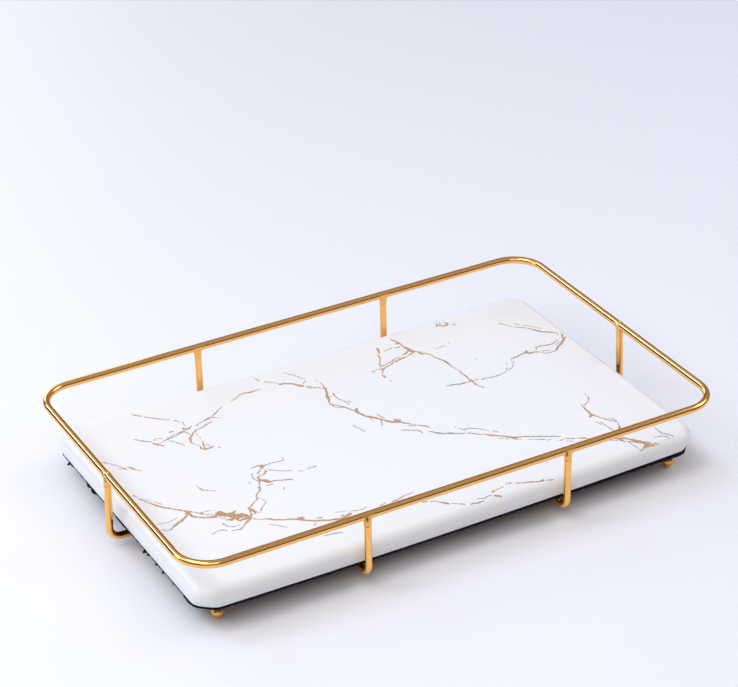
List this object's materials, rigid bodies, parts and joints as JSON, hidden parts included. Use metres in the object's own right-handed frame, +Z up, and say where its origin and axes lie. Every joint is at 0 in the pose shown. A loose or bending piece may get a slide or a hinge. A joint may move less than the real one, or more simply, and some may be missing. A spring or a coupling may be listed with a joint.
{
  "type": "vanity tray",
  "caption": "Rounded white glazed ceramic slab resting loose in a gold-plated wire frame with a raised rail, bent posts and ball feet",
  "frame": {"origin": "on the surface that the tray stands on, under the middle of the rail", "axes": "+X along the tray's long side, -Y the front long side, +Z up"},
  "size_m": [0.306, 0.1916, 0.0448],
  "materials": {
    "gold_wire": "mirror-polished gold plating on drawn wire",
    "gold_weld": "plated weld beads, slightly uneven",
    "glaze": "glossy white glaze with soft edges",
    "felt": "black felt backing, cut edges",
    "gold_print": "fired gold-bronze print under the glaze"
  },
  "bodies": {
    "frame": {"rail_front": "gold_wire", "rail_back": "gold_wire", "post_front_left": "gold_wire", "post_front_right": "gold_wire", "post_back_left": "gold_wire", "post_back_right": "gold_wire", "post_left": "gold_wire", "post_right": "gold_wire", "base_ring": "gold_wire", "foot_front_left": "gold_wire", "foot_front_right": "gold_wire", "foot_back_left": "gold_wire", "foot_back_right": "gold_wire", "post_welds": "gold_weld", "hook_welds": "gold_weld", "end_hook_welds": "gold_weld", "foot_welds": "gold_weld"},
    "slab": {"slab": "glaze", "felt": "felt"}
  },
  "joints": [
    {"name": "slab_lift", "type": "slide", "parent": "frame", "child": "slab", "axis": [0, 0, 1], "range_m": [0, 0.06]}
  ]
}
